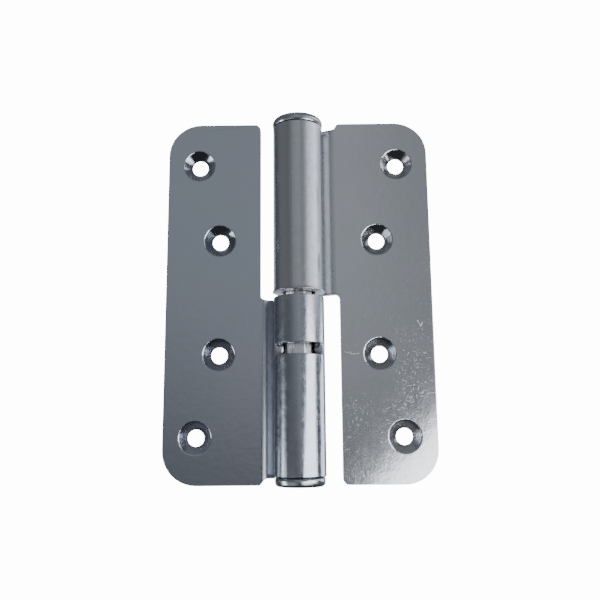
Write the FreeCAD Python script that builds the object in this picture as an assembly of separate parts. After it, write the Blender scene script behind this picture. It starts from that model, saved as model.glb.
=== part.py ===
import FreeCAD, Part
import math
import os

from FreeCAD import Vector

# Rising butt hinge, open flat, at its lowest position. Millimetres.
# The origin is on the pin's axis at half the leaves' height. +Z runs up the pin,
# -Y is the side with the countersinks, -X is the frame leaf and +X the door leaf.

# Leaves
sheet = 2.5                 # thickness of the steel sheet
leaf_height = 110.0
leaf_width = 40.0           # pin axis to the outer edge
leaf_setback = 2.2          # pin axis to the countersunk face
outer_corner_r = 10.0
inner_corner_r = 1.8
notch_corner_r = 1.4        # where the neck meets the inner edge
edge_break = 0.25           # chamfer along the sheet's cut edges
frame_inner_edge = 11.5     # pin axis to the frame leaf's straight inner edge
door_inner_edge = 12.3      # pin axis to the door leaf's straight inner edge

# Countersunk screw holes, alike in both leaves
hole_d = 4.9
countersink_d = 9.7
countersink_angle = 90.0
outer_hole_x = 30.5
outer_hole_margin = 13.5    # leaf's end to the outer holes
inner_hole_x = 23.9
inner_hole_spread = 34.8    # between the two inner holes

# Rolled knuckles
bore_d = 10.0
roll_wrap = 300.0           # degrees from the back of the knuckle to its free end
crank_angle = 40.0
crank_bend_r = 1.75         # inside radius of the crank's two bends
crank_end = 11.3            # where the flat of the leaf begins
knuckle_gap = 1.5
gap_middle = -0.15          # height of the gap between the knuckles
door_knuckle_short = 2.7    # top of the door leaf to the end of its knuckle
frame_knuckle_short = 2.6   # foot of the frame leaf to the end of its knuckle
knuckle_edge = 0.3          # chamfer on the knuckle's end beside its button
flare_out = 0.4             # lip that the shears left on the upper knuckle's lower end
flare_length = 1.2
flare_start = 60.0          # degrees from the back of the knuckle to the lip
neck_relief = 1.9           # neck's end below the leaf's end
relief_slope = 1.1          # run of the slanted step between neck and leaf
relief_corner_r = 1.2
cap_room = 0.3              # between a button's head and the step of the neck

# Slot sawn across the front of the lower knuckle
slot_drop = 13.9            # from the knuckle's upper end to the slot
slot_width = 3.2
slot_depth_y = -2.2         # the plane that the saw reached

# Eight-sided pin, turned round where it is pressed into the upper knuckle
bar_flats = 7.7             # across flats
bar_stop = 17.6             # bar's lower end above the lower knuckle's end
bar_lead = 0.6              # chamfer on the bar's lower end
shank_inset = 3.4           # round shank's lower end inside the upper knuckle
shank_room = 0.6            # between the shank and the top button

# Buttons that close the two knuckles
top_head_over = 0.2         # radial, past the knuckle
top_head_drop = 0.0         # top of the leaf to the end of the top button
top_stem = 4.2
bottom_head_over = -0.25    # negative where the head is smaller than its knuckle
bottom_head_drop = 0.0      # foot of the leaf to the end of the bottom button
bottom_stem = 3.5
head_outer_round = 1.2      # rounding of a head's rim at its end face
top_head_inner_round = 0.4  # and on its knuckle side
bottom_head_inner_round = 0.9
rim_steps = 3               # cones that make up a rounding
head_gap = 0.15             # dark line between a head and its knuckle

# Sleeve that turns in the counterbored top of the lower knuckle
counterbore_d = 10.8
counterbore_depth = 12.5

# Rising cam
rise = 6.0                  # lift over a quarter turn
cam_height = 7.6            # lowest line of the seat's face above the lower knuckle's end
cam_core_d = 3.2
cam_crest_flat = 0.4        # taken off the crests
socket_depth = 10.0         # of the follower's socket, which the bar stands in

# Clearances
press_gap = 0.02            # radial, in parts pressed together
run_gap = 0.05              # radial, in parts that turn or slide
flat_gap = 0.05             # between the bar's flats and what it slides in
end_gap = 0.1               # along the axis, between parts that stand on each other
cam_gap = 0.15              # along the axis, between the cam's two faces

# Worked out from the sizes above
bore_r = bore_d / 2
knuckle_r = bore_r + sheet
top_head_d = 2 * (knuckle_r + top_head_over)
bottom_head_d = 2 * (knuckle_r + bottom_head_over)
leaf_end = leaf_height / 2
door_knuckle_low = gap_middle + knuckle_gap / 2
door_knuckle_high = leaf_end - door_knuckle_short
frame_knuckle_high = gap_middle - knuckle_gap / 2
frame_knuckle_low = frame_knuckle_short - leaf_end
slot_high = frame_knuckle_high - slot_drop
slot_low = slot_high - slot_width
counterbore_low = frame_knuckle_high - counterbore_depth
bar_low = frame_knuckle_low + bar_stop
shank_low = door_knuckle_low + shank_inset
shank_high = door_knuckle_high - top_stem - shank_room
cam_valley = frame_knuckle_low + cam_height
follower_high = bar_low + socket_depth
bar_corner_r = bar_flats / 2 / math.cos(math.pi / 8)
quarter = 90.0
far = leaf_width + leaf_height
up = Vector(0, 0, 1)
origin = Vector(0, 0, 0)


def cylinder(d, low, high):
    """A round bar on the pin's axis."""
    return Part.makeCylinder(d / 2, high - low, Vector(0, 0, low))


def revolve(points):
    """A turned piece from its half section, given as (radius, height) pairs."""
    corners = [Vector(r, 0, z) for r, z in points]
    face = Part.Face(Part.makePolygon(corners + corners[:1]))
    return face.revolve(origin, up, 360)


def octagon_bar(flats, low, high):
    """An eight-sided bar on the pin's axis with one flat towards the front."""
    corner_r = flats / 2 / math.cos(math.pi / 8)
    turns = [math.pi / 8 + k * math.pi / 4 for k in range(8)]
    corners = [Vector(corner_r * math.cos(a), corner_r * math.sin(a), low) for a in turns]
    return Part.Face(Part.makePolygon(corners + corners[:1])).extrude(up * (high - low))


def rounded_outline(corners):
    """A closed wire in the XZ plane from (x, z, radius) corners."""
    places = [Vector(x, 0, z) for x, z, r in corners]
    starts = []
    ends = []
    for k, (x, z, r) in enumerate(corners):
        here = places[k]
        back = (places[k - 1] - here).normalize()
        on = (places[(k + 1) % len(places)] - here).normalize()
        reach = r / math.tan(back.getAngle(on) / 2) if r else 0.0
        starts.append(here + back * reach)
        ends.append(here + on * reach)
    edges = []
    for k, (x, z, r) in enumerate(corners):
        if r:
            here = places[k]
            middle = (starts[k] + ends[k]) * 0.5
            centre_way = (middle - here).normalize()
            half = (starts[k] - here).getAngle(ends[k] - here) / 2
            crown = here + centre_way * (r / math.sin(half) - r)
            edges.append(Part.Arc(starts[k], crown, ends[k]).toShape())
        after = starts[(k + 1) % len(places)]
        if (after - ends[k]).Length > 1e-6:
            edges.append(Part.LineSegment(ends[k], after).toShape())
    return Part.Wire(edges)


def bent_sheet(start, heading, steps, thickness):
    """The section of a bent sheet. Its middle line starts at a point with a heading in
    degrees, then follows (length, turn) steps: a straight where the turn is 0, else an arc
    of that radius through that many degrees, to the left where they are positive."""
    half = thickness / 2
    left = []
    right = []
    at = Vector(*start)
    for length, turn in steps:
        way = Vector(math.cos(math.radians(heading)), math.sin(math.radians(heading)), 0)
        side = Vector(-way.y, way.x, 0)
        if turn == 0:
            to = at + way * length
            left.append(Part.LineSegment(at + side * half, to + side * half).toShape())
            right.append(Part.LineSegment(at - side * half, to - side * half).toShape())
            at = to
            continue
        sign = math.copysign(1, turn)
        centre = at + side * (sign * length)
        arm = at - centre
        mid = FreeCAD.Rotation(up, turn / 2).multVec(arm)
        last = FreeCAD.Rotation(up, turn).multVec(arm)
        for rail, shift in ((left, -sign * half), (right, sign * half)):
            grow = (length + shift) / length
            points = [centre + v * grow for v in (arm, mid, last)]
            rail.append(Part.Arc(*points).toShape())
        at = centre + last
        heading += turn
    ends = [
        Part.LineSegment(left[0].Vertexes[0].Point, right[0].Vertexes[0].Point).toShape(),
        Part.LineSegment(left[-1].Vertexes[-1].Point, right[-1].Vertexes[-1].Point).toShape(),
    ]
    return Part.Face(Part.Wire(Part.__sortEdges__(left + right + ends)))


def leaf_section():
    """The door leaf seen along the pin: flat, crank and rolled knuckle."""
    roll_r = bore_r + sheet / 2
    bend_r = crank_bend_r + sheet / 2
    alpha = math.radians(crank_angle)
    offset = roll_r - (leaf_setback + sheet / 2)
    slope = (offset - 2 * bend_r * (1 - math.cos(alpha))) / math.sin(alpha)
    run = 2 * bend_r * math.sin(alpha) + slope * math.cos(alpha)
    steps = [
        (leaf_width - crank_end, 0),
        (bend_r, -crank_angle),
        (slope, 0),
        (bend_r, crank_angle),
        (crank_end - run, 0),
        (roll_r, roll_wrap),
    ]
    start = (leaf_width, leaf_setback + sheet / 2, 0)
    return bent_sheet(start, 180, steps, sheet)


def leaf_outline(inner_edge, knuckle_low, knuckle_high, head_d):
    """The leaf's cut edge seen from the front, past the far side of its knuckle."""
    neck_end = leaf_end - neck_relief
    step_x = head_d / 2 + cap_room
    relief_x = inner_edge - relief_slope
    return rounded_outline([
        (-far, knuckle_low, 0),
        (inner_edge, knuckle_low, notch_corner_r),
        (inner_edge, -leaf_end, inner_corner_r),
        (leaf_width, -leaf_end, outer_corner_r),
        (leaf_width, leaf_end, outer_corner_r),
        (inner_edge, leaf_end, relief_corner_r),
        (relief_x, neck_end, relief_corner_r),
        (step_x, neck_end, 0),
        (step_x, knuckle_high, 0),
        (-far, knuckle_high, 0),
    ])


def leaf(inner_edge, knuckle_low, knuckle_high, head_d):
    """A leaf with its knuckle in the upper half, cranked and rolled from one sheet."""
    outline = leaf_outline(inner_edge, knuckle_low, knuckle_high, head_d)
    prism = Part.Face(outline).extrude(Vector(0, 2 * far, 0))
    prism.translate(Vector(0, -far, 0))
    section = leaf_section()
    section.translate(Vector(0, 0, -leaf_end))
    body = section.extrude(up * leaf_height).common(prism).Solids[0]
    body = body.makeChamfer(edge_break, skin_edges(body))
    body = body.cut(knuckle_chamfer(knuckle_high))
    for x, z in screw_places():
        body = body.cut(screw_hole(x, z))
    return body


def skin_edges(body):
    """The cut edges of the leaf's flat, on the countersunk side and on the back."""
    found = []
    for edge in body.Edges:
        box = edge.BoundBox
        flat = box.YLength < 1e-6
        on_skin = min(abs(box.YMin - y) for y in (leaf_setback, leaf_setback + sheet)) < 1e-6
        bend_line = box.XLength < 1e-6 and abs(box.XMin - crank_end) < 1e-6
        if flat and on_skin and not bend_line:
            found.append(edge)
    return found


def along_roll(points, start):
    """A ring round the roll, from so many degrees past the knuckle's back to the roll's free
    end, with its section given as (radius, height) pairs."""
    corners = [Vector(r, 0, z) for r, z in points]
    face = Part.Face(Part.makePolygon(corners + corners[:1]))
    face.rotate(origin, up, quarter + start)
    return face.revolve(origin, up, roll_wrap - start)


def knuckle_chamfer(height):
    """What the chamfer takes off the knuckle's outer edge at its upper end."""
    return along_roll([
        (knuckle_r - 2 * knuckle_edge, height + knuckle_edge),
        (knuckle_r + knuckle_edge, height + knuckle_edge),
        (knuckle_r + knuckle_edge, height - 2 * knuckle_edge),
    ], 0)


def flare(height):
    """The lip round the knuckle's lower end, which stops short of the neck."""
    return along_roll([
        (knuckle_r - flare_out, height),
        (knuckle_r + flare_out, height),
        (knuckle_r, height + flare_length),
        (knuckle_r - flare_out, height + flare_length),
    ], flare_start)


def screw_places():
    """The four screw holes of a leaf, as (x, z)."""
    outer_z = leaf_end - outer_hole_margin
    outer = [(outer_hole_x, side * outer_z) for side in (1, -1)]
    inner = [(inner_hole_x, side * inner_hole_spread / 2) for side in (1, -1)]
    return outer + inner


def screw_hole(x, z):
    """A through hole with its countersink, as the solid that is cut away."""
    half_angle = math.radians(countersink_angle / 2)
    depth = (countersink_d - hole_d) / 2 / math.tan(half_angle)
    front = Vector(x, leaf_setback, z)
    back = Vector(0, 1, 0)
    drill = Part.makeCylinder(hole_d / 2, 2 * sheet, front - back * (sheet / 2), back)
    cone = Part.makeCone(countersink_d / 2, hole_d / 2, depth, front, back)
    return drill.fuse(cone)


def frame_leaf():
    """The left leaf. It is the door leaf's pressing turned over, with the lower knuckle."""
    body = leaf(frame_inner_edge, -frame_knuckle_high, -frame_knuckle_low, bottom_head_d)
    body.rotate(origin, Vector(0, 1, 0), 180)
    slot = Part.makeBox(4 * knuckle_r, 2 * knuckle_r, slot_high - slot_low)
    slot.translate(Vector(-2 * knuckle_r, slot_depth_y - 2 * knuckle_r, slot_low))
    body = body.cut(slot)
    return body.cut(cylinder(counterbore_d, counterbore_low, frame_knuckle_high + sheet))


def door_leaf():
    """The right leaf, with the upper knuckle."""
    body = leaf(door_inner_edge, door_knuckle_low, door_knuckle_high, top_head_d)
    return body.fuse(flare(door_knuckle_low)).removeSplitter()


def hinge_pin():
    """The pin: a round shank above, an eight-sided bar below."""
    shank = cylinder(bore_d - 2 * press_gap, shank_low, shank_high)
    bar = octagon_bar(bar_flats, bar_low, shank_low)
    cone_r = bar_corner_r + sheet
    tip = revolve([
        (0, bar_low),
        (bar_corner_r - bar_lead, bar_low),
        (cone_r, bar_low + bar_lead + cone_r - bar_corner_r),
        (cone_r, shank_low),
        (0, shank_low),
    ])
    return shank.fuse(bar.common(tip)).removeSplitter()


def rounded_rim(head_r, face, round_r, way):
    """A head's rounding from its side to one of its faces, in short straight steps."""
    turns = [math.radians(quarter * k / rim_steps) for k in range(rim_steps + 1)]
    return [(head_r - round_r * (1 - math.cos(t)), face - way * round_r * (1 - math.sin(t)))
            for t in turns]


def button(head_d, head_end, knuckle_end, stem_length, inner_round):
    """A turned button: its stem is pressed into the bore, its head closes the knuckle."""
    way = math.copysign(1, head_end)
    seat = knuckle_end + way * head_gap
    stem_r = bore_r - press_gap
    head_r = head_d / 2
    return revolve([
        (0, knuckle_end - way * stem_length),
        (stem_r, knuckle_end - way * stem_length),
        (stem_r, seat),
        *reversed(rounded_rim(head_r, seat, inner_round, -way)),
        *rounded_rim(head_r, head_end, head_outer_round, way),
        (0, head_end),
    ])


def bearing_sleeve():
    """The sleeve that the bar slides in. It turns with the bar on the counterbore's ledge."""
    low = counterbore_low + end_gap
    high = frame_knuckle_high - 2 * end_gap
    outside = cylinder(counterbore_d - 2 * run_gap, low, high)
    return outside.cut(octagon_bar(bar_flats + 2 * flat_gap, low - 1, high + 1))


def cam_ramps(depth):
    """The seat's two-lobed face as the top of a thick ring: two valleys and two crests."""
    pitch = rise * 360 / quarter
    inside = Part.makeHelix(pitch, rise, cam_core_d / 4).Edges[0]
    outside = Part.makeHelix(pitch, rise, bore_d).Edges[0]
    flank = Part.makeRuledSurface(inside, outside).extrude(-up * depth)
    mirrored = flank.mirror(origin, Vector(0, 1, 0))
    lobe = flank.fuse(mirrored)
    other = lobe.copy()
    other.rotate(origin, up, 180)
    return lobe.fuse(other).removeSplitter()


def cam_seat():
    """The fixed half of the cam, pressed into the lower knuckle above the bottom button."""
    low = frame_knuckle_low + bottom_stem + end_gap
    crest = cam_valley + rise
    ramps = cam_ramps(crest - low)
    ramps.translate(up * cam_valley)
    blank = cylinder(bore_d - 2 * press_gap, low, crest - cam_crest_flat)
    return blank.common(ramps).cut(cylinder(cam_core_d, low - 1, crest + 1))


def cam_follower():
    """The moving half of the cam. The bar stands in its eight-sided socket."""
    low = cam_valley + cam_gap + cam_crest_flat
    floor = bar_low - end_gap
    ramps = cam_ramps(2 * rise)
    ramps.translate(up * (cam_valley + cam_gap))
    blank = cylinder(bore_d - 2 * run_gap, low, follower_high)
    socket = octagon_bar(bar_flats + 2 * flat_gap, floor, follower_high + 1)
    core = cylinder(cam_core_d, low - 1, cam_valley + rise + cam_gap + cam_crest_flat)
    return blank.cut(ramps).cut(socket).cut(core)


def pieces():
    """Every piece of the hinge by its name."""
    return {
        "frame_leaf": frame_leaf(),
        "door_leaf": door_leaf(),
        "hinge_pin": hinge_pin(),
        "top_button": button(
            top_head_d, leaf_end - top_head_drop, door_knuckle_high, top_stem,
            top_head_inner_round),
        "bottom_button": button(
            bottom_head_d, bottom_head_drop - leaf_end, frame_knuckle_low, bottom_stem,
            bottom_head_inner_round),
        "bearing_sleeve": bearing_sleeve(),
        "cam_seat": cam_seat(),
        "cam_follower": cam_follower(),
    }


os.makedirs("parts", exist_ok=True)
for name, shape in pieces().items():
    solids = shape.Solids
    print(name, "solids", len(solids), "valid", shape.isValid(), "volume", round(shape.Volume, 1))
    solids[0].exportStep("parts/" + name + ".step")
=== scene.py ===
# %% [markdown]
# # A rising butt hinge, dressed
# The frame is the imported engineering model. It fixes every size and every motion, so this
# notebook only makes finer meshes, finishes, light and a camera around it. The model is read
# first, and the boxes of its parts are read from it.

# %% Load the frame
import bpy
import bmesh
import math
from mathutils import Matrix, Vector


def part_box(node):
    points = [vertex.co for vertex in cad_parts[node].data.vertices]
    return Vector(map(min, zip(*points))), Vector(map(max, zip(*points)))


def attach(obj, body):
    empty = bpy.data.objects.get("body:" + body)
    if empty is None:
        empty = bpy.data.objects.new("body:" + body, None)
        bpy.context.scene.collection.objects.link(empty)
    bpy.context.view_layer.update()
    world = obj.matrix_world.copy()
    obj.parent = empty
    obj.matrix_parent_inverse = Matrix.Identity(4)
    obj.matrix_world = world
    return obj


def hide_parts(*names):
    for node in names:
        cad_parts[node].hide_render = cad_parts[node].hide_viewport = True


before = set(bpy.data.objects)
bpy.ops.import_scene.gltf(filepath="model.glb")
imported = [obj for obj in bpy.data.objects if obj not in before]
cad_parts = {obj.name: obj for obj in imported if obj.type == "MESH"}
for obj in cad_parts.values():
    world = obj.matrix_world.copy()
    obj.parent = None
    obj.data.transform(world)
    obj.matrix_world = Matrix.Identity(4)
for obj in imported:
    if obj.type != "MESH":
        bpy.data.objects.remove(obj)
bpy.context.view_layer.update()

# %% [markdown]
# ## Working in millimetres
# Cutting and rounding work best where a unit is about as large as the smallest detail, so
# every mesh is made in millimetres and made smaller, to metres, when it is finished. The
# sizes are those of the sheet, the pin and the holes. The heights of the turned pieces come
# from the frame's boxes. The crank slopes less than the frame's 40 degrees between the same
# two ends, because the light on the real one fits that.

# %% Sizes
sheet = 2.5
setback = 2.2               # pin axis to the countersunk face
leaf_width = 40.0
leaf_end = 55.0
bore_r = 5.0
knuckle_r = bore_r + sheet
roll_wrap = 300.0
crank_angle = 28.0
crank_bend_r = 3.0          # to the middle of the sheet
crank_end = 11.3            # where the flat of the leaf begins
hole_r = 2.45
countersink_r = 4.85
outer_hole = (30.5, 41.5)   # x and z of a hole from the middle of the hinge
inner_hole = (23.9, 17.4)


def box_mm(node):
    """A node's lowest and highest corner in millimetres."""
    low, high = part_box(node)
    return low * 1000, high * 1000


def fresh_object(name, mesh):
    """A new object of a mesh, in the scene."""
    piece = bpy.data.objects.new(name, mesh)
    bpy.context.scene.collection.objects.link(piece)
    return piece


def object_of(name, mesh):
    """Turns a finished bmesh into a new object."""
    data = bpy.data.meshes.new(name)
    mesh.to_mesh(data)
    mesh.free()
    return fresh_object(name, data)


pin_box = box_mm("hinge_pin")
print("pin from", round(pin_box[0].z, 2), "to", round(pin_box[1].z, 2), "mm")

# %% [markdown]
# ## Camera
# The camera stands 0.2 m away and 38 mm below the middle of the hinge, and it is tilted up by
# ten degrees. A guess by eye would be quicker, but the leaves' edges lean with every degree.
# The angles were found by matching the eight screw holes and the outer edges, so the lens
# and the place belong together.

# %% Camera
camera_place = Vector((1.378, -202.65, -38.18))
camera_pitch = 10.26
camera_turn = 0.293
camera_roll = -0.509
camera_lens = 41.68

camera = bpy.data.objects.new("camera", bpy.data.cameras.new("camera"))
bpy.context.scene.collection.objects.link(camera)
camera.data.lens = camera_lens
camera.data.clip_start = 0.01
camera.matrix_world = (
    Matrix.Translation(camera_place * 0.001)
    @ Matrix.Rotation(math.radians(camera_turn), 4, "Z")
    @ Matrix.Rotation(math.radians(90 + camera_pitch), 4, "X")
    @ Matrix.Rotation(math.radians(camera_roll), 4, "Z")
)
bpy.context.scene.camera = camera
print("camera", round(camera_place.length), "mm away")

# %% [markdown]
# ## Closed skins from loops
# Turned and milled pieces are a stack of loops with equally many points. Joining each loop to
# the next with four-sided faces keeps a smooth shading, which a boolean of two primitives
# would lose. A chain of loops is either closed on itself, as in a tube, or capped.

# %% Skin helper


def ring(radius, height, count=96):
    """A loop of points round the pin's axis. Radius and height are numbers or functions of
    the angle."""
    points = []
    for k in range(count):
        turn = math.tau * k / count
        r = radius(turn) if callable(radius) else radius
        z = height(turn) if callable(height) else height
        points.append(Vector((r * math.cos(turn), r * math.sin(turn), z)))
    return points


def skin(name, loops, tube=False):
    """A closed mesh over a chain of loops, capped unless it is a tube."""
    mesh = bmesh.new()
    rows = [[mesh.verts.new(p) for p in loop] for loop in loops]
    pairs = list(zip(rows, rows[1:] + rows[:1])) if tube else list(zip(rows, rows[1:]))
    for lower, upper in pairs:
        for k in range(len(lower)):
            j = (k + 1) % len(lower)
            mesh.faces.new((lower[k], lower[j], upper[j], upper[k]))
    if not tube:
        mesh.faces.new(list(reversed(rows[0])))
        mesh.faces.new(rows[-1])
    bmesh.ops.recalc_face_normals(mesh, faces=mesh.faces)
    return object_of(name, mesh)


def octagon(flats):
    """The radius of an eight-sided outline at an angle, with a flat at the front."""
    def radius(turn):
        off = (turn + math.pi / 8) % (math.pi / 4) - math.pi / 8
        return flats / 2 / math.cos(off)
    return radius


# %% [markdown]
# ## Finishing a piece
# No real edge is perfectly sharp, and a small round along it catches the light. A bevel that
# only takes edges above an angle does this for every piece, and it can run last, when holes
# and slots are cut. The modifiers are then baked, because a hinge's pieces ride on bodies and
# are exported as plain meshes.

# %% Finish helper


def finish_piece(piece, bevel=0.12, limit=30, segments=3):
    """Rounds the sharp edges, bakes the modifiers and brings the mesh to metres."""
    if bevel:
        edges = piece.modifiers.new("soft edges", "BEVEL")
        edges.width = bevel
        edges.segments = segments
        edges.limit_method = "ANGLE"
        edges.angle_limit = math.radians(limit)
        edges.use_clamp_overlap = False
        edges.harden_normals = True
    piece.data.polygons.foreach_set("use_smooth", [True] * len(piece.data.polygons))
    graph = bpy.context.evaluated_depsgraph_get()
    baked = bpy.data.meshes.new_from_object(piece.evaluated_get(graph))
    piece.modifiers.clear()
    piece.data = baked
    baked.transform(Matrix.Scale(0.001, 4))
    for polygon in baked.polygons:
        polygon.use_smooth = True
    print(piece.name, len(baked.polygons), "faces")
    return piece


# %% [markdown]
# ## Blank of a leaf
# Each leaf starts as a flat blank that the press shears from sheet: a plate, a neck and a
# tongue that becomes the knuckle. The blank is drawn flat here too. The tongue is divided
# into narrow strips, since each strip stays flat when the sheet is bent, and the more strips
# there are, the rounder the roll becomes.

# %% Blank
bend_length = crank_bend_r * math.radians(crank_angle)
roll_mid_r = bore_r + sheet / 2
crank_rise = roll_mid_r - (setback + sheet / 2)
alpha = math.radians(crank_angle)
slope_length = (crank_rise - 2 * crank_bend_r * (1 - math.cos(alpha))) / math.sin(alpha)
crank_run = 2 * crank_bend_r * math.sin(alpha) + slope_length * math.cos(alpha)
neck_length = crank_end - crank_run
roll_length = roll_mid_r * math.radians(roll_wrap)
roll_start = 2 * bend_length + slope_length + neck_length
neck_step = 3.9             # along the sheet, from the crank to the step beside the button
neck_relief = 1.9
relief_run = 1.1            # of the slanted step between neck and leaf
relief_r = 1.2
leaf_corner_r = 10.0
inner_corner_r = 1.8
neck_corner_r = 1.4
lip_out = 0.35
lip_length = 1.2
lip_wrap = 60.0             # degrees round the roll to the place where the lip begins
lip_growth = 6.0            # along the sheet, over which the lip reaches its full size
end_round = 0.2
bend_strips = 10
roll_strips = 120
tolerance = 1e-4


def rounded(corners, step=7.5):
    """Points of an outline whose corners (x, z, radius) are rounded in steps of degrees."""
    points = []
    for k, (x, z, r) in enumerate(corners):
        here = Vector((x, z))
        if not r:
            points.append(here)
            continue
        back = (Vector(corners[k - 1][:2]) - here).normalized()
        on = (Vector(corners[(k + 1) % len(corners)][:2]) - here).normalized()
        half = back.angle(on) / 2
        centre = here + (back + on).normalized() * (r / math.sin(half))
        first = here + back * (r / math.tan(half)) - centre
        sweep = first.angle_signed(here + on * (r / math.tan(half)) - centre)
        count = max(3, round(abs(math.degrees(sweep)) / step))
        for j in range(count + 1):
            turn = Matrix.Rotation(-sweep * j / count, 2)
            points.append(centre + turn @ first)
    return points


def strip_lines():
    """Distances along the sheet at which the blank is divided."""
    lines = []
    at = 0.0
    for length, count in ((bend_length, bend_strips), (slope_length, 1),
                          (bend_length, bend_strips), (neck_length, 1),
                          (roll_length, roll_strips)):
        lines += [at + length * k / count for k in range(count)]
        at += length
    return lines


def cut_along(mesh, faces, place, normal):
    """Divides some faces of a mesh by a plane."""
    parts = set(faces)
    for face in faces:
        parts.update(face.edges)
        parts.update(face.verts)
    bmesh.ops.bisect_plane(mesh, geom=list(parts), dist=1e-5, plane_co=place, plane_no=normal)


def tongue_faces(mesh):
    """The faces of the part of the blank that becomes the knuckle."""
    return [f for f in mesh.faces if f.calc_center_median().x < crank_end - roll_start]


def blank(name, inner_edge, knuckle_low, knuckle_high, lip):
    """The flat blank of a leaf whose knuckle is in its upper half. The lip is how far the
    shears spread the tongue's lower end."""
    tongue_end = crank_end - roll_start - roll_length
    step_x = crank_end - neck_step
    outline = rounded([
        (tongue_end, knuckle_low, 0),
        (inner_edge, knuckle_low, neck_corner_r),
        (inner_edge, -leaf_end, inner_corner_r),
        (leaf_width, -leaf_end, leaf_corner_r),
        (leaf_width, leaf_end, leaf_corner_r),
        (inner_edge, leaf_end, relief_r),
        (inner_edge - relief_run, leaf_end - neck_relief, relief_r),
        (step_x, leaf_end - neck_relief, 0),
        (step_x, knuckle_high, 0),
        (tongue_end, knuckle_high, 0),
    ])
    mesh = bmesh.new()
    front = [mesh.verts.new((p.x, setback, p.y)) for p in outline]
    back = [mesh.verts.new((p.x, setback + sheet, p.y)) for p in outline]
    mesh.faces.new(front)
    mesh.faces.new(list(reversed(back)))
    for k in range(len(outline)):
        j = (k + 1) % len(outline)
        mesh.faces.new((front[k], back[k], back[j], front[j]))
    for distance in strip_lines():
        cut_along(mesh, list(mesh.faces), (crank_end - distance, 0, 0), (1, 0, 0))
    for height in (knuckle_low + lip_length, knuckle_high - end_round):
        cut_along(mesh, tongue_faces(mesh), (0, 0, height), (0, 0, 1))
    lip_start = crank_end - roll_start - roll_mid_r * math.radians(lip_wrap)
    for vertex in mesh.verts:
        outside = vertex.co.y > setback + sheet / 2
        if outside and vertex.co.x < crank_end - roll_start + tolerance:
            if abs(vertex.co.z - knuckle_high) < tolerance:
                vertex.co.y -= end_round
            elif abs(vertex.co.z - knuckle_low) < tolerance:
                ease = min(max((lip_start - vertex.co.x) / lip_growth + 0.5, 0), 1)
                vertex.co.y += lip * ease
    bmesh.ops.recalc_face_normals(mesh, faces=mesh.faces)
    return object_of(name, mesh)


print("tongue", round(roll_start + roll_length, 1), "mm long for a knuckle of",
      round(2 * knuckle_r, 1), "mm")

# %% [markdown]
# ## Bending as a rule
# A bending machine does one thing again and again: it feeds the sheet a certain length and
# turns it by a certain angle while it does. A small node group is one such step. It takes how
# far along the sheet a point lies, walks as much of that as the step is long, and hands what
# is left to the next step. A straight stretch is a step without a turn. Five steps in a row
# make the crank and the rolled knuckle.

# %% Node helpers


def new_tree(name, inputs, outputs):
    """A node tree with named sockets, and its input and output node."""
    tree = bpy.data.node_groups.new(name, "GeometryNodeTree")
    for label, kind in inputs:
        tree.interface.new_socket(name=label, in_out="INPUT", socket_type="NodeSocket" + kind)
    for label, kind in outputs:
        tree.interface.new_socket(name=label, in_out="OUTPUT", socket_type="NodeSocket" + kind)
    return tree, tree.nodes.new("NodeGroupInput"), tree.nodes.new("NodeGroupOutput")


def feed(tree, socket, value):
    """Links a socket to another one, or sets it to a value."""
    if isinstance(value, bpy.types.NodeSocket):
        tree.links.new(value, socket)
    elif value is not None:
        socket.default_value = value


def calc(tree, operation, *values):
    """One Math node. Gives its result."""
    node = tree.nodes.new("ShaderNodeMath")
    node.operation = operation
    for socket, value in zip(node.inputs, values):
        feed(tree, socket, value)
    return node.outputs[0]


def vector_of(tree, x, y, z):
    """Three numbers as one vector."""
    node = tree.nodes.new("ShaderNodeCombineXYZ")
    for socket, value in zip(node.inputs, (x, y, z)):
        feed(tree, socket, value)
    return node.outputs[0]


def vector_calc(tree, operation, *values):
    """One Vector Math node. Gives its result."""
    node = tree.nodes.new("ShaderNodeVectorMath")
    node.operation = operation
    for socket, value in zip(node.inputs, values):
        feed(tree, socket, value)
    return node.outputs[0]


print("node helpers are ready")

# %% Bend step group
bend_step, given, made = new_tree(
    "Bend step",
    [("Distance", "Float"), ("Point", "Vector"), ("Heading", "Float"),
     ("Length", "Float"), ("Turn", "Float")],
    [("Distance", "Float"), ("Point", "Vector"), ("Heading", "Float")])
walked = calc(bend_step, "MINIMUM",
              calc(bend_step, "MAXIMUM", given.outputs["Distance"], 0.0),
              given.outputs["Length"])
share = calc(bend_step, "DIVIDE", walked, given.outputs["Length"])
turn_so_far = calc(bend_step, "MULTIPLY", given.outputs["Turn"], share)
half_turn = calc(bend_step, "MULTIPLY", turn_so_far, 0.5)
# A straight stretch turns by nothing, and the chord's formula divides by the turn.
not_zero = calc(bend_step, "ADD", half_turn, 1e-5)
shorter = calc(bend_step, "DIVIDE", calc(bend_step, "SINE", not_zero), not_zero)
chord = calc(bend_step, "MULTIPLY", walked, shorter)
course = calc(bend_step, "ADD", given.outputs["Heading"], half_turn)
stride = vector_of(bend_step,
                   calc(bend_step, "MULTIPLY", chord, calc(bend_step, "COSINE", course)),
                   calc(bend_step, "MULTIPLY", chord, calc(bend_step, "SINE", course)),
                   0.0)
feed(bend_step, made.inputs["Distance"],
     calc(bend_step, "SUBTRACT", given.outputs["Distance"], given.outputs["Length"]))
feed(bend_step, made.inputs["Point"],
     vector_calc(bend_step, "ADD", given.outputs["Point"], stride))
feed(bend_step, made.inputs["Heading"], calc(bend_step, "ADD", course, half_turn))
print("bend step has", len(bend_step.nodes), "nodes")

# %% [markdown]
# ## Press line
# The second tree is the whole press line, and its first half bends the blank. A curve
# modifier could wrap the sheet too, but its curve would have to be drawn to fit. Five bend
# steps work with lengths and angles, as the press does, and each point keeps its distance
# from the middle of the sheet.

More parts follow.
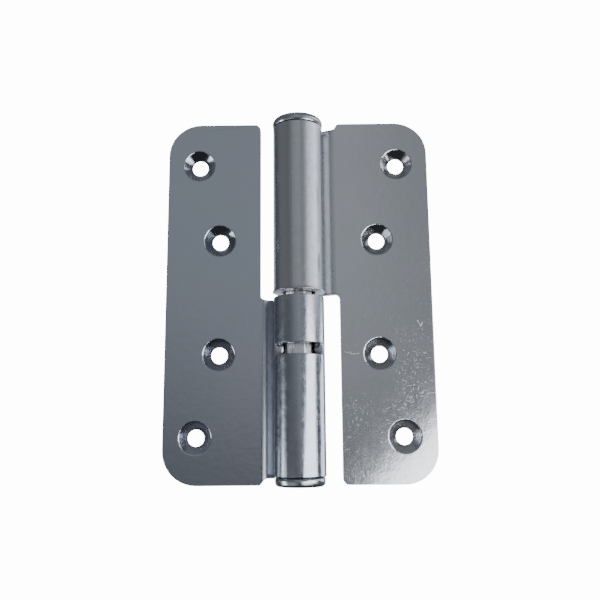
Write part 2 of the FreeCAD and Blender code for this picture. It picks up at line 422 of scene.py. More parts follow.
# %% Press line, bending
press_line, given, made = new_tree(
    "Press line",
    [("Blank", "Geometry"), ("Drill", "Object"), ("Other tool", "Object"),
     ("Sheet", "Float"), ("Setback", "Float"), ("Crank end", "Float"),
     ("Bend length", "Float"), ("Crank turn", "Float"), ("Slope length", "Float"),
     ("Neck length", "Float"), ("Roll length", "Float"), ("Roll turn", "Float"),
     ("Outer hole x", "Float"), ("Outer hole z", "Float"),
     ("Inner hole x", "Float"), ("Inner hole z", "Float"), ("Plate", "Material")],
    [("Leaf", "Geometry")])
place = press_line.nodes.new("GeometryNodeInputPosition")
parts = press_line.nodes.new("ShaderNodeSeparateXYZ")
feed(press_line, parts.inputs[0], place.outputs[0])
middle_y = calc(press_line, "MULTIPLY_ADD", given.outputs["Sheet"], 0.5,
                given.outputs["Setback"])
along = calc(press_line, "SUBTRACT", given.outputs["Crank end"], parts.outputs[0])
before = calc(press_line, "MINIMUM", along, 0.0)
steps_from = vector_of(press_line,
                       calc(press_line, "SUBTRACT", given.outputs["Crank end"], before),
                       middle_y, parts.outputs[2])
turn_back = calc(press_line, "MULTIPLY", given.outputs["Crank turn"], -1.0)
state = {"Distance": along, "Point": steps_from, "Heading": math.pi}
for length, turn in ((given.outputs["Bend length"], turn_back),
                     (given.outputs["Slope length"], 0.0),
                     (given.outputs["Bend length"], given.outputs["Crank turn"]),
                     (given.outputs["Neck length"], 0.0),
                     (given.outputs["Roll length"], given.outputs["Roll turn"])):
    step = press_line.nodes.new("GeometryNodeGroup")
    step.node_tree = bend_step
    for label, value in {**state, "Length": length, "Turn": turn}.items():
        feed(press_line, step.inputs[label], value)
    state = {label: step.outputs[label] for label in ("Distance", "Point", "Heading")}
off_middle = calc(press_line, "SUBTRACT", middle_y, parts.outputs[1])
left_x = calc(press_line, "MULTIPLY", calc(press_line, "SINE", state["Heading"]), -1.0)
left_y = calc(press_line, "COSINE", state["Heading"])
sideways = vector_of(press_line,
                     calc(press_line, "MULTIPLY", left_x, off_middle),
                     calc(press_line, "MULTIPLY", left_y, off_middle), 0.0)
bend = press_line.nodes.new("GeometryNodeSetPosition")
feed(press_line, bend.inputs["Geometry"], given.outputs["Blank"])
feed(press_line, bend.inputs["Position"],
     vector_calc(press_line, "ADD", state["Point"], sideways))
print("press line bends with", len(press_line.nodes), "nodes")

# %% [markdown]
# ## Drilling
# The second half cuts. The drill is one small mesh, set at each point of two vertical lines
# by instancing, so the four countersinks of a leaf are exactly alike. What else is cut out of
# a leaf, such as the slot in the lower knuckle, comes in as one more tool. The exact solver
# is used, because the tools' faces and the sheet's lie close together.

# %% Press line, cutting
tools = press_line.nodes.new("GeometryNodeJoinGeometry")
drill = press_line.nodes.new("GeometryNodeObjectInfo")
feed(press_line, drill.inputs["Object"], given.outputs["Drill"])
for which in ("Outer hole", "Inner hole"):
    column = press_line.nodes.new("GeometryNodeMeshLine")
    column.inputs["Count"].default_value = 2
    x = given.outputs[which + " x"]
    z = given.outputs[which + " z"]
    feed(press_line, column.inputs["Start Location"],
         vector_of(press_line, x, given.outputs["Setback"],
                   calc(press_line, "MULTIPLY", z, -1.0)))
    feed(press_line, column.inputs["Offset"],
         vector_of(press_line, 0.0, 0.0, calc(press_line, "MULTIPLY", z, 2.0)))
    drills = press_line.nodes.new("GeometryNodeInstanceOnPoints")
    feed(press_line, drills.inputs["Points"], column.outputs[0])
    feed(press_line, drills.inputs["Instance"], drill.outputs["Geometry"])
    feed(press_line, tools.inputs[0], drills.outputs[0])
other = press_line.nodes.new("GeometryNodeObjectInfo")
feed(press_line, other.inputs["Object"], given.outputs["Other tool"])
feed(press_line, tools.inputs[0], other.outputs["Geometry"])
real_tools = press_line.nodes.new("GeometryNodeRealizeInstances")
feed(press_line, real_tools.inputs[0], tools.outputs[0])
cut = press_line.nodes.new("GeometryNodeMeshBoolean")
cut.operation = "DIFFERENCE"
cut.solver = "EXACT"
feed(press_line, cut.inputs[0], bend.outputs[0])
feed(press_line, cut.inputs[1], real_tools.outputs[0])
real = press_line.nodes.new("GeometryNodeRealizeInstances")
feed(press_line, real.inputs[0], cut.outputs[0])
plate = press_line.nodes.new("GeometryNodeSetMaterial")
feed(press_line, plate.inputs["Geometry"], real.outputs[0])
feed(press_line, plate.inputs["Material"], given.outputs["Plate"])
feed(press_line, made.inputs["Leaf"], plate.outputs[0])
print("press line has", len(press_line.nodes), "nodes")

# %% [markdown]
# ## Tools for materials
# Each finish of the hinge is a metal with noise in its gloss. A few short functions write the
# nodes that every finish needs, so that a finish itself reads like a recipe. All of them work
# on Object coordinates, so a pattern stays on its piece when the hinge moves.

# %% Shader helpers


def shade(tree, kind, **settings):
    """A shader node with some of its properties or inputs set."""
    node = tree.nodes.new(kind)
    for label, value in settings.items():
        if label in node.inputs:
            feed(tree, node.inputs[label], value)
        else:
            setattr(node, label, value)
    return node


def metal(name, colour, roughness):
    """A metallic material. Gives the material, its tree, its shader and object coordinates."""
    material = bpy.data.materials.new(name)
    material.use_nodes = True
    tree = material.node_tree
    shader = tree.nodes["Principled BSDF"]
    shader.inputs["Metallic"].default_value = 1.0
    shader.inputs["Base Color"].default_value = (*colour, 1)
    shader.inputs["Roughness"].default_value = roughness
    where = tree.nodes.new("ShaderNodeTexCoord").outputs["Object"]
    return material, tree, shader, where


def scaled(tree, where, scale, turn=(0, 0, 0)):
    """Coordinates with their own scale and turn."""
    node = shade(tree, "ShaderNodeMapping")
    feed(tree, node.inputs["Vector"], where)
    node.inputs["Scale"].default_value = scale
    node.inputs["Rotation"].default_value = turn
    return node.outputs[0]


def clouds(tree, where, scale, detail=3.0, rough=0.55):
    """A noise value."""
    node = shade(tree, "ShaderNodeTexNoise", Vector=where)
    node.inputs["Scale"].default_value = scale
    node.inputs["Detail"].default_value = detail
    node.inputs["Roughness"].default_value = rough
    return node.outputs["Fac"]


def between(tree, value, low, high, to_low=0.0, to_high=1.0):
    """A value stretched from one range to another, and held inside it."""
    node = shade(tree, "ShaderNodeMapRange", Value=value)
    for label, number in (("From Min", low), ("From Max", high),
                          ("To Min", to_low), ("To Max", to_high)):
        node.inputs[label].default_value = number
    return node.outputs["Result"]


def total(tree, *values):
    """The sum of several values."""
    result = values[0]
    for value in values[1:]:
        result = calc(tree, "ADD", result, value)
    return result


def product(tree, *values):
    """The product of several values."""
    result = values[0]
    for value in values[1:]:
        result = calc(tree, "MULTIPLY", result, value)
    return result


def mixed(tree, share, first, second):
    """The first value where the share is 0 and the second where it is 1."""
    node = shade(tree, "ShaderNodeMix", data_type="FLOAT")
    for socket, value in ((0, share), (2, first), (3, second)):
        feed(tree, node.inputs[socket], value)
    return node.outputs[0]


print("shader helpers are ready")

# %% [markdown]
# ## Marks of use
# The door leaf has been handled: it has short strokes, specks and a few long scratches. An
# image would have to be painted and unwrapped. A stretched noise over a threshold gives the
# strokes in any number, and a scratch that has its own place is worked out from its two ends.

# %% Wear helpers
scratch_core = 0.00006      # half width of a scratch where it is deepest, in metres
scratch_edge = 0.00016      # half width where it ends
scratch_taper = 0.0004
scratch_strength = 1.8


def hole_distance(tree, axes, hole):
    """Distance from the axis of the nearest of the holes at (+-x, +-z), in metres."""
    aside = calc(tree, "SUBTRACT", calc(tree, "ABSOLUTE", axes.outputs[0]), hole[0] * 0.001)
    above = calc(tree, "SUBTRACT", calc(tree, "ABSOLUTE", axes.outputs[2]), hole[1] * 0.001)
    return calc(tree, "SQRT", total(tree, product(tree, aside, aside), product(tree, above, above)))


def marks(tree, where, scale, turn, above):
    """Short thin strokes in one direction: where a stretched noise is over a threshold."""
    stroke = clouds(tree, scaled(tree, where, scale, (0, turn, 0)), 1.0, 1.0)
    return between(tree, stroke, above, above + 0.03)


def scratch(tree, axes, start, end):
    """One scratch from point to point of the leaf's face, given in millimetres as (x, z)."""
    first = Vector((start[0], 0, start[1])) * 0.001
    way = Vector((end[0], 0, end[1])) * 0.001 - first
    from_first = [calc(tree, "SUBTRACT", axes.outputs[k], first[k]) for k in (0, 2)]
    length = way.length
    on = calc(tree, "ADD", product(tree, from_first[0], way.x / length),
              product(tree, from_first[1], way.z / length))
    across = calc(tree, "SUBTRACT", product(tree, from_first[0], way.z / length),
                  product(tree, from_first[1], way.x / length))
    off = calc(tree, "ABSOLUTE", across)
    past = calc(tree, "ABSOLUTE", calc(tree, "SUBTRACT", on, length / 2))
    return product(tree, between(tree, off, scratch_core, scratch_edge, 1.0, 0.0),
                   between(tree, past, length / 2 - scratch_taper, length / 2, 1.0, 0.0),
                   scratch_strength)


def wear_of(tree, where, axes, wear, scratches):
    """How worn the plate is from place to place: specks and strokes in patches, more of them
    towards the foot of the hinge, and the scratches that have their own places."""
    specks = between(tree, clouds(tree, where, 1300.0, 2.0), 0.60, 0.70)
    patchy = between(tree, clouds(tree, where, 110.0, 3.0), 0.38, 0.66, 0.15, 0.8)
    lower_down = between(tree, axes.outputs[2], 0.03, -0.02, 0.3, 1.0)
    strokes = total(tree, marks(tree, where, (420.0, 420.0, 4200.0), 0.5, 0.69),
                    marks(tree, where, (4600.0, 420.0, 520.0), -0.3, 0.69),
                    marks(tree, where, (520.0, 420.0, 4500.0), -0.9, 0.70))
    worn = product(tree, total(tree, specks, strokes), patchy, lower_down, wear)
    for start, end in scratches:
        worn = calc(tree, "MAXIMUM", worn, scratch(tree, axes, start, end))
    return worn


print("a scratch is", round(2000 * scratch_edge, 2), "mm wide")

# %% [markdown]
# ## Zinc plate
# Bright zinc on rolled sheet is a soft mirror. Its base is metallic, and what makes it real is
# uneven gloss: cloudy patches from the bath, a rolled knuckle with fine lines along it, a crank
# dulled by the bending tool, and countersinks with the drill's turning marks. One material
# with masks does all this, because the pieces of sheet have no seam where the finish changes.
# The masks are distances from the pin and from the holes.

# %% Zinc plate
rolled_to = (0.0077, 0.0081)    # distances from the pin in metres, between which the
bent_to = (0.0108, 0.0118)      # knuckle's finish and then the crank's fade out
cone_to = (0.0047, 0.0049)      # the same from a hole's axis, for its countersink
turning_pitch = 0.0004          # of the drill's marks
crank_dullness = 0.14
cone_gloss = 0.09
knuckle_gloss = 0.17
cool_share = (0.97, 1.00, 1.02)
warm_share = (1.04, 0.99, 1.03)


def plate_colour(tree, where, colour, worn):
    """The plate's colour: slow patches of a cooler and a warmer tone, lighter where worn."""
    tint = shade(tree, "ShaderNodeValToRGB", Fac=clouds(tree, where, 22.0, 2.0))
    for stop, position, share in zip(tint.color_ramp.elements, (0.3, 0.7),
                                     (cool_share, warm_share)):
        stop.position = position
        stop.color = (*(part * by for part, by in zip(colour, share)), 1)
    lit = shade(tree, "ShaderNodeVectorMath", operation="SCALE")
    feed(tree, lit.inputs[0], tint.outputs[0])
    feed(tree, lit.inputs["Scale"], calc(tree, "MULTIPLY_ADD", worn, 0.2, 1.0))
    return lit.outputs[0]


def plate_height(tree, where, on_knuckle, in_cone, from_hole, worn):
    """The fine relief of the plate in millimetres."""
    turned = calc(tree, "SINE", calc(tree, "MULTIPLY", from_hole, math.tau / turning_pitch))
    chatter = between(tree, clouds(tree, where, 1500.0), 0.3, 0.7, -1.0, 1.0)
    drawn = clouds(tree, scaled(tree, where, (1100.0, 1100.0, 14.0)), 1.0, 3.0)
    dimples = clouds(tree, where, 1100.0, 3.0)
    return total(tree, product(tree, calc(tree, "ADD", turned, chatter), in_cone, 0.004),
                 product(tree, drawn, on_knuckle, 0.035),
                 product(tree, dimples, on_knuckle, 0.010),
                 product(tree, clouds(tree, where, 420.0, 4.0), 0.03),
                 product(tree, worn, 0.006))


def zinc(name, colour, roughness, wear, scratches=()):
    """Zinc plate. Wear is how much of the surface is specked, 0 to 1, and the scratches are
    the long ones, which have their own places."""
    material, tree, shader, where = metal(name, colour, roughness)
    axes = shade(tree, "ShaderNodeSeparateXYZ", Vector=where)
    from_pin = calc(tree, "SQRT", total(tree, product(tree, axes.outputs[0], axes.outputs[0]),
                                        product(tree, axes.outputs[1], axes.outputs[1])))
    on_knuckle = between(tree, from_pin, *rolled_to, 1.0, 0.0)
    on_bend = product(tree, between(tree, from_pin, *rolled_to),
                      between(tree, from_pin, *bent_to, 1.0, 0.0))
    from_hole = calc(tree, "MINIMUM", hole_distance(tree, axes, outer_hole),
                     hole_distance(tree, axes, inner_hole))
    in_cone = between(tree, from_hole, *cone_to, 1.0, 0.0)
    worn = wear_of(tree, where, axes, wear, scratches)

    cloudy = between(tree, clouds(tree, where, 60.0), 0.35, 0.65, -0.015, 0.02)
    grain = clouds(tree, scaled(tree, where, (900.0, 900.0, 60.0)), 1.0, 2.0)
    fine = between(tree, grain, 0.3, 0.7, -0.015, 0.015)
    flat_gloss = total(tree, cloudy, fine, roughness, product(tree, worn, 0.15),
                       product(tree, on_bend, crank_dullness))
    scuffed = between(tree, clouds(tree, where, 500.0, 3.0), 0.35, 0.7, 0.0, 0.12)
    rolled_gloss = total(tree, cloudy, scuffed, knuckle_gloss)
    gloss = mixed(tree, on_knuckle, mixed(tree, in_cone, flat_gloss, cone_gloss), rolled_gloss)
    feed(tree, shader.inputs["Roughness"], gloss)
    feed(tree, shader.inputs["Base Color"], plate_colour(tree, where, colour, worn))

    height = plate_height(tree, where, on_knuckle, in_cone, from_hole, worn)
    bump = shade(tree, "ShaderNodeBump", Height=height)
    bump.inputs["Strength"].default_value = 1.0
    bump.inputs["Distance"].default_value = 0.001
    feed(tree, shader.inputs["Normal"], bump.outputs[0])
    return material


frame_plate = zinc("zinc plate, frame leaf", (0.52, 0.56, 0.60), 0.16, 0.35)
door_plate = zinc("zinc plate, door leaf", (0.635, 0.655, 0.665), 0.15, 1.0, (
    ((13.0, -16.7), (15.6, -17.4)), ((15.2, -17.5), (18.0, -17.2)), ((14.9, -16.4), (15.5, -17.9)),
    ((35.0, -7.2), (36.3, -9.6)), ((36.3, -9.6), (36.6, -7.9)),
    ((-2.2, 36.2), (-1.6, 35.4)), ((-1.2, 37.4), (-0.9, 36.9)), ((0.4, 21.0), (0.9, 20.2))))
button_plate = zinc("polished zinc, buttons", (0.55, 0.58, 0.61), 0.16, 0.3)
print("plate materials:", frame_plate.name, "/", door_plate.name)

# %% [markdown]
# ## Drill and saw
# A countersink is a cone cut by a drill that also makes the hole below it, so one turned mesh
# cuts both. Two loops close to its rims keep the shading of the cone clean up to its edges.
# The saw that cut the slot in the lower knuckle is a plain block.

# %% Cutting tools
lead = 0.5                  # by which the drill begins before the sheet and ends behind it
cone_edge = 0.25            # from a rim of the cone to the loop beside it


def drill_mesh():
    """The countersinking drill, pointing along +Y from the plate's face."""
    depth = countersink_r - hole_r
    rings = [ring(countersink_r + lead, -lead), ring(countersink_r - cone_edge, cone_edge),
             ring(hole_r + cone_edge, depth - cone_edge), ring(hole_r, depth),
             ring(hole_r, sheet + lead)]
    tool = skin("drill", rings)
    tool.data.transform(Matrix.Rotation(math.radians(-90), 4, "X"))
    return tool


def block(name, low, high):
    """A rectangular tool from corner to corner."""
    mesh = bmesh.new()
    bmesh.ops.create_cube(mesh, size=1.0)
    for vertex in mesh.verts:
        for k in range(3):
            vertex.co[k] = high[k] if vertex.co[k] > 0 else low[k]
    return object_of(name, mesh)


print("countersinks are", 2 * countersink_r, "mm wide")

# %% [markdown]
# ## Leaves
# Both leaves are the same pressing but for a few measures at their knuckles. The frame leaf
# could be modelled apart, but it is that pressing turned over about the axis that points at
# the viewer, which puts its knuckle below. The same press line makes both, with another
# blank and another tool.

# %% Press helper


def press(piece, tool, other_tool, plate_material):
    """Runs a blank through the press line."""
    line = piece.modifiers.new("press line", "NODES")
    line.node_group = press_line
    values = {
        "Drill": tool, "Other tool": other_tool, "Sheet": sheet, "Setback": setback,
        "Crank end": crank_end, "Bend length": bend_length, "Crank turn": alpha,
        "Slope length": slope_length, "Neck length": neck_length,
        "Roll length": roll_length, "Roll turn": math.radians(roll_wrap),
        "Outer hole x": outer_hole[0], "Outer hole z": outer_hole[1],
        "Inner hole x": inner_hole[0], "Inner hole z": inner_hole[1],
        "Plate": plate_material,
    }
    for item in press_line.interface.items_tree:
        if item.item_type == "SOCKET" and item.in_out == "INPUT" and item.name in values:
            line[item.identifier] = values[item.name]


print("press line takes", len(press_line.interface.items_tree) - 1, "inputs")

# %% Leaves
knuckle_top = 52.3
knuckle_foot = 0.6
lower_top = -0.9
lower_foot = -52.4
door_edge = 12.3            # pin axis to the inner edge of the door leaf
frame_edge = 11.5           # and to that of the frame leaf
slot = (-18.0, -14.8)
slot_depth_y = -2.2
saw_reach = 20.0
counterbore_r = 5.4
counterbore_depth = 12.5
counterbore_low = lower_top - counterbore_depth
reamer_lead = 5.0
leaf_bevel = 0.22

drill_tool = drill_mesh()
no_tool = fresh_object("no tool", bpy.data.meshes.new("no tool"))
door_leaf = blank("door_leaf_sheet", door_edge, knuckle_foot, knuckle_top, lip_out)
press(door_leaf, drill_tool, no_tool, door_plate)
finish_piece(door_leaf, bevel=leaf_bevel)

saw = block("saw", (-saw_reach, -saw_reach, -slot[1]), (saw_reach, slot_depth_y, -slot[0]))
reamer = skin("reamer", [ring(counterbore_r, -lower_top - reamer_lead),
                         ring(counterbore_r, -counterbore_low)])
both = bmesh.new()
both.from_mesh(saw.data)
both.from_mesh(reamer.data)
both.to_mesh(saw.data)
both.free()
frame_leaf = blank("frame_leaf_sheet", frame_edge, -lower_top, -lower_foot, 0.0)
press(frame_leaf, drill_tool, saw, frame_plate)
finish_piece(frame_leaf, bevel=leaf_bevel)
frame_leaf.data.transform(Matrix.Rotation(math.pi, 4, "Y"))
for tool in (drill_tool, no_tool, saw, reamer):
    bpy.data.objects.remove(tool)

# %% [markdown]
# ## Buttons
# A turned button closes the far end of each knuckle: its stem is pressed into the bore, and
# its head is rounded. The head's side could be a bevel, but a bevel has one radius, and a
# turned head is a chain of arcs that run into each other.

# %% Buttons
press_gap = 0.02            # radial, in the parts that are pressed together
head_gap = 0.08             # dark line between a head and its knuckle
arc_steps = 8
top_stem = 4.2
top_head_r = 7.7
bottom_stem = 3.5
bottom_head_r = 7.25


def turned_side(head_r, seat, height, way, arcs):
    """The side of a head as loops. Each arc has a radius and runs between two tilts of the
    surface in degrees, positive towards the end face. The last arc takes what height is
    left. The widest place is where the tilt is zero."""
    loops = []
    r = head_r - arcs[0][0] * (1 - math.cos(math.radians(arcs[0][1])))
    z = 0.0
    for radius, start, stop in arcs:
        a = math.radians(start)
        b = math.radians(stop)
        radius = radius or (height - z) / (math.sin(b) - math.sin(a))
        for k in range(arc_steps + 1):
            t = a + (b - a) * k / arc_steps
            loops.append(ring(r + radius * (math.cos(t) - math.cos(a)),
                              seat + way * (z + radius * (math.sin(t) - math.sin(a)))))
        r += radius * (math.cos(b) - math.cos(a))
        z += radius * (math.sin(b) - math.sin(a))
        if stop < 90:
            loops.pop()
    return loops


def button(name, node, knuckle_end, head_r, stem_length, arcs):
    """A button: its stem, then a head whose side is a chain of arcs."""
    low, high = box_mm(node)
    way = 1 if knuckle_end > 0 else -1
    seat = knuckle_end + way * head_gap
    height = (high.z - seat) if way > 0 else (seat - low.z)
    stem_r = bore_r - press_gap
    loops = [ring(stem_r, knuckle_end - way * stem_length), ring(stem_r, seat)]
    loops += turned_side(head_r, seat, height, way, arcs)
    return finish_piece(skin(name, loops), bevel=0.06, limit=35)


top_button = button("top_button_head", "top_button", knuckle_top, top_head_r, top_stem,
                    ((2.4, -26, 0), (None, 0, 90)))
bottom_button = button("bottom_button_head", "bottom_button", lower_foot, bottom_head_r,
                       bottom_stem, ((1.0, -50, 0), (5.0, 0, 12), (None, 12, 90)))

# %% [markdown]
# ## Pin and sleeve
# The pin is a drawn eight-sided bar, turned round where it is pressed into the upper knuckle.
# A boolean of a prism and a cylinder would leave long thin faces at the shoulder. One formula
# gives the radius of the octagon at each angle instead, so the same loops go from round to
# eight-sided, and they also make the socket of the sleeve that the bar slides in.

# %% Pin and sleeve
run_gap = 0.05              # radial, in the parts that turn
bar_flats = 7.7
flat_gap = 0.05             # between the bar's flats and what it slides in
socket_flats = bar_flats + 2 * flat_gap
shank_inset = 3.4           # round shank's lower end inside the upper knuckle
shank_low = knuckle_foot + shank_inset
eight = octagon(bar_flats)
lead_in = 0.6               # chamfer on the bar's lower end
lead_in_steps = 4
corner_r = bar_flats / 2 / math.cos(math.pi / 8)


def pointed(cut_r):
    """The octagon's radius, but no more than the chamfer leaves."""
    return lambda turn: min(eight(turn), cut_r)


pin_low = pin_box[0].z
pin_high = pin_box[1].z
pin_loops = []
for step in range(lead_in_steps + 1):
    done = step / lead_in_steps
    pin_loops.append(ring(pointed(corner_r - lead_in * (1 - done)), pin_low + lead_in * done))
pin_loops += [ring(eight, shank_low), ring(bore_r - press_gap, shank_low),
              ring(bore_r - press_gap, pin_high)]
hinge_pin = finish_piece(skin("hinge_pin_bar", pin_loops), bevel=0.12, limit=25)

sleeve_low, sleeve_high = box_mm("bearing_sleeve")
socket = octagon(socket_flats)
sleeve_r = counterbore_r - run_gap
bearing_sleeve = finish_piece(skin("bearing_sleeve_bush", [
    ring(sleeve_r, sleeve_low.z), ring(sleeve_r, sleeve_high.z),
    ring(socket, sleeve_high.z), ring(socket, sleeve_low.z)], tube=True), bevel=0.1)

# %% [markdown]
# ## Rising cam
# Deep in the lower knuckle stand two rings face to face. Each face climbs and falls twice a
# turn, so a quarter turn of the door lifts it. Neither a spin nor an extrusion makes such a
# face. Its height depends on the angle alone, so a function of the angle gives each loop
# its height, and both rings share it.

# %% Rising cam
rise = 6.0
cam_core_r = 1.6
cam_points = 144            # round a loop, so that the crests stay sharp
seat_low, seat_high = box_mm("cam_seat")
follower_low, follower_high = box_mm("cam_follower")
crest_flat = 0.4
valley = seat_high.z + crest_flat - rise
cam_gap = 0.15              # between the two faces
end_gap = 0.1               # between the bar's end and the socket's floor


def helix(turn):
    """Height of the cam's face above its valleys: two valleys and two crests a turn."""
    quarters = turn / (math.pi / 2)
    return rise * (1 - abs(quarters % 2 - 1))


def seat_face(turn):
    """Height of the fixed face."""
    return min(valley + helix(turn), seat_high.z)


def follower_face(turn):
    """Height of the moving face, whose crests stand in the seat's valleys."""
    return max(valley + cam_gap + helix(turn), follower_low.z)


seat_r = bore_r - press_gap
cam_seat = finish_piece(skin("cam_seat_ring", [
    ring(seat_r, seat_low.z, cam_points), ring(seat_r, seat_face, cam_points),
    ring(cam_core_r, seat_face, cam_points), ring(cam_core_r, seat_low.z, cam_points)], tube=True),
    bevel=0.08, limit=40)
follower_r = bore_r - run_gap
socket_floor = pin_low - end_gap
core_top = valley + rise + cam_gap + crest_flat
cam_follower = finish_piece(skin("cam_follower_body", [
    ring(cam_core_r, core_top, cam_points), ring(cam_core_r, follower_face, cam_points),
    ring(follower_r, follower_face, cam_points), ring(follower_r, follower_high.z, cam_points),
    ring(socket, follower_high.z, cam_points), ring(socket, socket_floor, cam_points)]),
    bevel=0.08, limit=40)

# %% [markdown]
# ## Bright steel, acetal and cam steel
# The bar is drawn steel with faint lines along its length and fine pits. The sleeve is natural
# acetal, a milky plastic. The cam is plain hardened steel under a film of grease. A picture
# isn't needed for any of them: a stretched noise is enough for lines, and a round one for
# grease and milk.

# %% Inner materials
bright, tree, shader, where = metal("bright drawn steel", (0.93, 0.94, 0.94), 0.3)
lines = clouds(tree, scaled(tree, where, (1500.0, 1500.0, 30.0)), 1.0, 2.0)
feed(tree, shader.inputs["Roughness"], between(tree, lines, 0.3, 0.7, 0.22, 0.4))
pits = shade(tree, "ShaderNodeBump", Height=clouds(tree, where, 1400.0, 3.0))
pits.inputs["Distance"].default_value = 0.00012
feed(tree, shader.inputs["Normal"], pits.outputs[0])

cam_steel, tree, shader, where = metal("greased cam steel", (0.42, 0.42, 0.44), 0.3)
greasy = between(tree, clouds(tree, where, 300.0), 0.3, 0.7, 0.2, 0.4)
feed(tree, shader.inputs["Roughness"], greasy)

acetal = bpy.data.materials.new("natural acetal")
acetal.use_nodes = True
tree = acetal.node_tree
shader = tree.nodes["Principled BSDF"]
shader.inputs["Roughness"].default_value = 0.45
where = tree.nodes.new("ShaderNodeTexCoord").outputs["Object"]
milky = shade(tree, "ShaderNodeValToRGB", Fac=clouds(tree, where, 150.0))
milky.color_ramp.elements[0].color = (0.80, 0.79, 0.74, 1)
milky.color_ramp.elements[1].color = (0.88, 0.87, 0.83, 1)
feed(tree, shader.inputs["Base Color"], milky.outputs[0])
print("inner materials:", bright.name, "/", cam_steel.name, "/", acetal.name)

# %% [markdown]
# ## Riding on the bodies
# Each dressed piece takes the place of its plain one and rides on the body that carries it.
# The cam's follower rises with the door, the sleeve only turns, and what is pressed into the
# lower knuckle stays with the frame.

# %% Pieces on bodies
for piece, node, body, slot_name, material in (
        (frame_leaf, "frame_leaf", "frame", "zinc_plate", None),
        (door_leaf, "door_leaf", "door", "zinc_plate", None),
        (hinge_pin, "hinge_pin", "door", "bright_steel", bright),
        (top_button, "top_button", "door", "button_plate", button_plate),
        (bottom_button, "bottom_button", "frame", "button_plate", button_plate),
        (bearing_sleeve, "bearing_sleeve", "sleeve", "sleeve_plastic", acetal),
        (cam_seat, "cam_seat", "frame", "cam_steel", cam_steel),
        (cam_follower, "cam_follower", "follower", "cam_steel", cam_steel)):
    if material:
        piece.data.materials.clear()
        piece.data.materials.append(material)
    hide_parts(node)
    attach(piece, body)
print("eight pieces ride on four bodies")

# %% [markdown]
# ## Stage
# White paper lies under the hinge and curves up all round it, so no edge shows from any
# side. A lit floor would need strong lamps, which the plate would mirror. So the paper glows
# by itself, as it does when a lamp stands behind it, and the metal doesn't see it, because
# the room behind the camera is what steel reflects.

# %% Glowing material


def glowing(name, base, roughness, light, strength):
    """A material that gives off light of its own."""
    material = bpy.data.materials.new(name)
    material.use_nodes = True
    shader = material.node_tree.nodes["Principled BSDF"]
    shader.inputs["Base Color"].default_value = (*base, 1)
    shader.inputs["Roughness"].default_value = roughness
    shader.inputs["Emission Color"].default_value = (*light, 1)
    shader.inputs["Emission Strength"].default_value = strength
    return material


paper = glowing("white paper", (0.9, 0.9, 0.9), 0.9, (1.0, 1.0, 1.0), 14.0)
print("stage material:", paper.name)

# %% Stage
floor_z = -0.0552           # in metres, as all sizes of the stage
middle_r = 0.3
wall_r = 3.0
curve_r = 1.0
wall_z = 5.0
curve_steps = 12
profile = [(middle_r, 0.0), (wall_r - curve_r, 0.0)]
for k in range(1, curve_steps + 1):
    t = math.pi / 2 * k / curve_steps
    profile.append((wall_r - curve_r + curve_r * math.sin(t), curve_r - curve_r * math.cos(t)))
profile.append((wall_r, wall_z))
bowl = bmesh.new()
rows = [[bowl.verts.new(p) for p in ring(r, floor_z + z)] for r, z in profile]
bowl.faces.new(rows[0])
for lower, upper in zip(rows, rows[1:]):
    for k in range(len(lower)):
        j = (k + 1) % len(lower)
        bowl.faces.new((lower[j], lower[k], upper[k], upper[j]))
paper_sheet = object_of("paper", bowl)
paper_sheet.data.materials.append(paper)
for polygon in paper_sheet.data.polygons:
    polygon.use_smooth = True
paper_sheet.visible_glossy = False
paper_sheet.visible_diffuse = False
print("paper from", floor_z, "m up")

# %% [markdown]
# ## Room
# Polished steel shows the room, so the room is the light. Lamps would do for paint, but on
# plate they would be hard dots. The room is a dim dome with a few soft panels far away, each
# given by its direction round the hinge, its height above the horizon, its half width and half
# height in degrees and its brightness. The fourth power in the formula gives a panel an even
# middle and a soft edge. A brightness below zero takes light away, as a dark curtain does.

# %% Room helper
world = bpy.data.worlds.new("studio")
bpy.context.scene.world = world
world.use_nodes = True
tree = world.node_tree
room = tree.nodes["Background"]
look = tree.nodes.new("ShaderNodeTexCoord").outputs["Generated"]
axes = shade(tree, "ShaderNodeSeparateXYZ", Vector=look)
azimuth = calc(tree, "ARCTAN2", axes.outputs[0], calc(tree, "MULTIPLY", axes.outputs[1], -1.0))
elevation = calc(tree, "ARCSINE", axes.outputs[2])


def soft_panel(direction, height, half_width, half_height, brightness):
    """The brightness that one soft panel adds to the room, as a socket."""
    across = calc(tree, "DIVIDE", calc(tree, "SUBTRACT", azimuth, math.radians(direction)),
                  math.radians(half_width))
    upward = calc(tree, "DIVIDE", calc(tree, "SUBTRACT", elevation, math.radians(height)),
                  math.radians(half_height))
    away = calc(tree, "ADD", calc(tree, "POWER", calc(tree, "ABSOLUTE", across), 4.0),
                calc(tree, "POWER", calc(tree, "ABSOLUTE", upward), 4.0))
    fade = calc(tree, "EXPONENT", calc(tree, "MULTIPLY", away, -1.0))
    return calc(tree, "MULTIPLY", fade, brightness)


print("direction 0 is the viewer's side, and 90 is on the right")

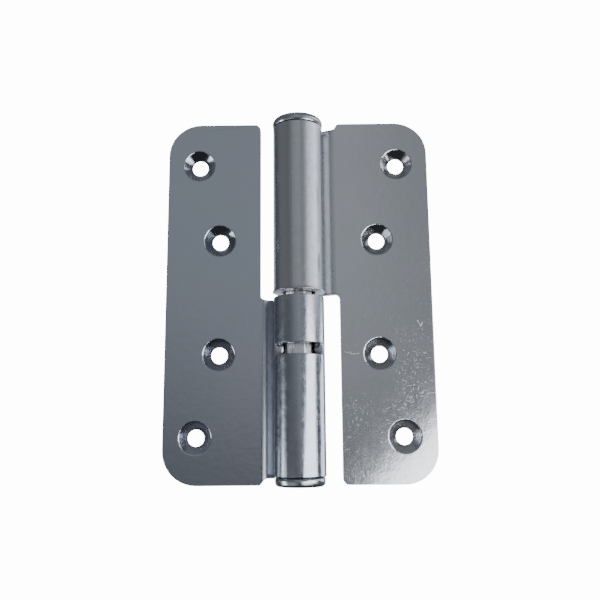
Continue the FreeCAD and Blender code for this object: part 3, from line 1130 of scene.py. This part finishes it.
# %% Room
panels = (
    (0, 18, 34, 22, 0.22),      # wall behind the camera
    (70, 22, 32, 12, 1.1),      # window on the right
    (125, 23, 50, 13, 0.9),     # and its far half
    (-75, 22, 30, 13, 0.05),    # wall on the left
    (-20, 0, 12, 10, -0.07),    # dark curtain
    (16, 5, 9, 40, -0.035),     # second curtain, for the outer half of the door leaf
    (3.5, 20, 3.5, 22, 0.07),   # light strip for the inner half of the door leaf
    (-78, -13, 9, 11, 5.0),     # small lamp low on the left, the lower knuckle's thin streak
    (-40, -21, 26, 13, 0.35),   # table on both sides, which tilted leaves show
    (40, -21, 26, 13, 0.35),
    (-168, 0, 20, 34, 0.8),     # two panels behind the hinge, for its back
    (168, 0, 20, 34, 0.8),
    (0, 72, 170, 22, 0.12),     # ceiling
)
dim_below = math.radians(-45)
full_above = math.radians(-5)
glow = between(tree, elevation, dim_below, full_above, 0.03, 0.13)
for panel in panels:
    glow = calc(tree, "ADD", soft_panel(*panel), glow)
tone = shade(tree, "ShaderNodeVectorMath", operation="SCALE")
tone.inputs[0].default_value = (0.95, 1.0, 1.07)
feed(tree, tone.inputs["Scale"], glow)
feed(tree, room.inputs["Color"], tone.outputs[0])
print("room has", len(tree.nodes), "nodes")

# %% [markdown]
# ## Soft box
# The brightest light is a soft box so close by on the right that both leaves and knuckles
# see it in different places. It draws the bright streak down the knuckles and lights the
# door leaf's lower corner. Its near edge leans, so it is a mesh with a glowing material
# rather than a rectangular lamp. The camera doesn't see it.

# %% Soft box
near_edge = ((30, -75), (44.6, -60), (58, -48), (70, -35),
             (84, -22), (98, -8), (108, 12), (112, 34))     # x and z in millimetres
near_y = -150.0
far_low = Vector((420.0, -70.0))        # x and y of the far edge, near the foot
far_high = Vector((345.0, -95.0))       # and above it
foot_below = -60.0
bottom_z = -108.0
rim_points = [(near_edge[0][0], bottom_z), *near_edge]
box_mesh = bmesh.new()
near_side = [box_mesh.verts.new((x, near_y, z)) for x, z in rim_points]
far_side = []
for x, z in rim_points:
    far_xy = far_low if z < foot_below else far_high
    far_side.append(box_mesh.verts.new((*far_xy, z)))
for k in range(len(rim_points) - 1):
    box_mesh.faces.new((near_side[k], far_side[k], far_side[k + 1], near_side[k + 1]))
soft_box = object_of("soft box", box_mesh)
soft_box.data.transform(Matrix.Scale(0.001, 4))
soft_box.data.materials.append(
    glowing("soft box cloth", (0.0, 0.0, 0.0), 0.5, (0.97, 1.0, 1.04), 4.0))
soft_box.visible_camera = False
soft_box.visible_shadow = False
print("soft box", round(far_low.x - near_edge[0][0]), "mm wide")
